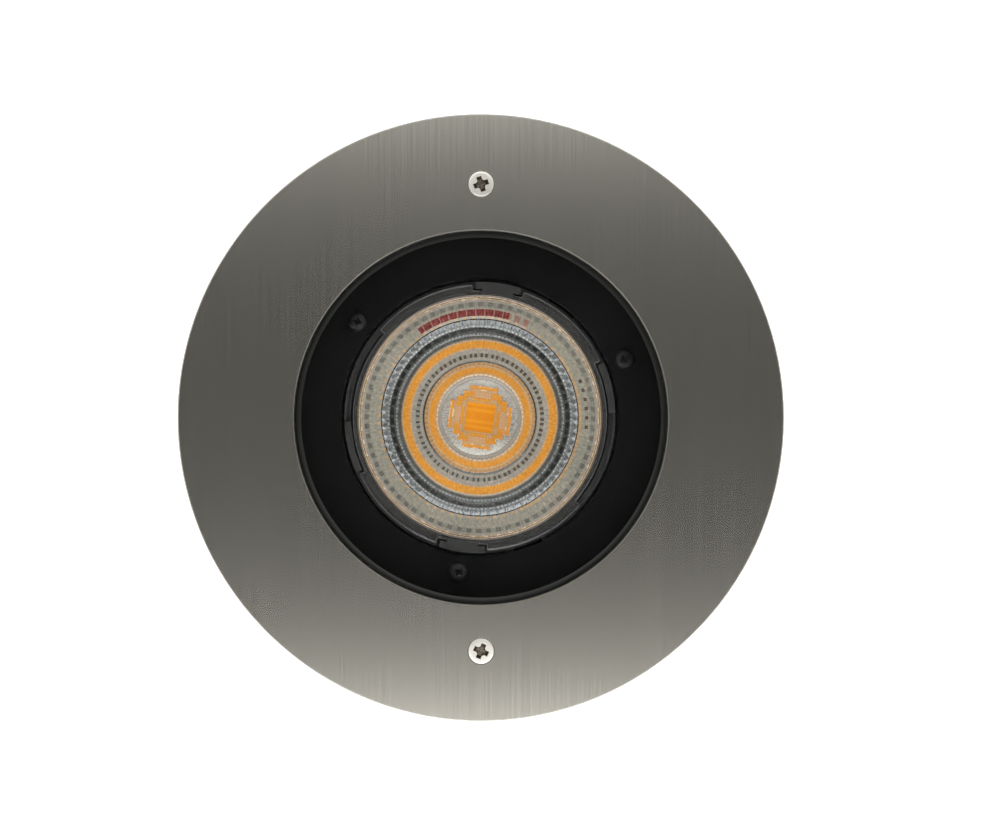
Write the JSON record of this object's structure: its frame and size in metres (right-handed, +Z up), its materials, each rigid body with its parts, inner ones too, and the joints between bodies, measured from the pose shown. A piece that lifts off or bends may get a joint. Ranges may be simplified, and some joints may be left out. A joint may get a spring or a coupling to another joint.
{
  "type": "in-ground well light",
  "caption": "Round in-ground well light: brushed steel trim plate over clamped glass, black optic with a ringed clear lens, cast housing with cable gland, and ground sleeve.",
  "frame": {"origin": "bottom centre of the sleeve's foot, on the lamp's centre line", "axes": "+Z up along the centre line to the trim plate's face; +Y through a trim screw"},
  "size_m": [0.18, 0.18, 0.17],
  "materials": {
    "brushed_stainless": "316 stainless plate, fine straight grain",
    "screw_stainless": "cold formed A4 stainless, bright",
    "clear_glass": "tempered soda lime glass, ground edge",
    "black_silicone": "moulded silicone",
    "cast_aluminium": "die cast aluminium, black powder coat",
    "clamp_aluminium": "machined aluminium",
    "black_abs": "moulded black polycarbonate, satin",
    "black_screw": "black zinc on steel",
    "post_steel": "nickel plated hex standoff",
    "lens_acrylic": "clear moulded acrylic with facets",
    "led_ceramic": "white ceramic board",
    "led_phosphor": "orange phosphor in silicone",
    "clamp_pbt": "moulded off white PBT",
    "grey_pad": "silicone thermal pad",
    "sink_aluminium": "extruded aluminium, clear anodised",
    "red_wire": "silicone insulated lead",
    "black_wire": "silicone insulated lead",
    "brown_wire": "PVC insulated lead",
    "blue_wire": "PVC insulated lead",
    "driver_plastic": "moulded white polycarbonate",
    "board_green": "glass epoxy circuit board",
    "transformer_tape": "ferrite transformer in yellow tape",
    "capacitor_sleeve": "shrink sleeve",
    "terminal_plastic": "moulded polyamide",
    "gland_plastic": "moulded black polyamide",
    "brass": "turned brass",
    "earth_steel": "zinc plated steel",
    "sleeve_plastic": "moulded black polypropylene"
  },
  "bodies": {
    "sleeve": {"mounting_sleeve": "sleeve_plastic", "sleeve_inserts": "brass"},
    "lamp": {"glass_seat_gasket": "black_silicone", "cover_ring": "black_abs", "cover_ring_screws": "black_screw", "cover_posts": "post_steel", "tir_lens": "lens_acrylic", "optic_holder": "black_abs", "holder_screws": "black_screw", "thermal_pad": "grey_pad", "led_board": "led_ceramic", "led_phosphor": "led_phosphor", "led_clamp": "clamp_pbt", "led_clamp_screws": "screw_stainless", "heat_sink": "sink_aluminium", "heat_sink_screws": "screw_stainless", "lead_grommets": "black_silicone", "red_lead": "red_wire", "black_lead": "black_wire", "driver_case": "driver_plastic", "driver_lid": "driver_plastic", "driver_board": "board_green", "driver_transformer": "transformer_tape", "driver_capacitors": "capacitor_sleeve", "driver_screws": "screw_stainless", "terminal_block": "terminal_plastic", "live_lead": "brown_wire", "neutral_lead": "blue_wire", "housing": "cast_aluminium", "earth_washer": "brass", "earth_screw": "earth_steel", "gland_body": "gland_plastic", "gland_oring": "black_silicone", "gland_locknut": "gland_plastic", "gland_seal": "black_silicone"},
    "trim": {"trim_plate": "brushed_stainless", "trim_screws": "screw_stainless"},
    "window": {"clamp_ring": "clamp_aluminium", "clamp_screws": "screw_stainless", "glass_top_gasket": "black_silicone", "cover_glass": "clear_glass"},
    "gland_nut": {"gland_nut": "gland_plastic"}
  },
  "joints": [
    {"name": "lamp_lift", "type": "slide", "parent": "sleeve", "child": "lamp", "axis": [0, 0, 1], "range_m": [0, 0.155]},
    {"name": "trim_lift", "type": "slide", "parent": "lamp", "child": "trim", "axis": [0, 0, 1], "range_m": [0, 0.06]},
    {"name": "window_lift", "type": "slide", "parent": "lamp", "child": "window", "axis": [0, 0, 1], "range_m": [0, 0.03]},
    {"name": "gland_nut_turn", "type": "hinge", "parent": "lamp", "child": "gland_nut", "pos_m": [-0.01, -0.03, 0.03], "axis": [0, 0, -1], "range_deg": [0, 360]}
  ],
  "couplings": [
    {"joint": "window_lift", "follows": "trim_lift", "ratio": 0.5}
  ]
}
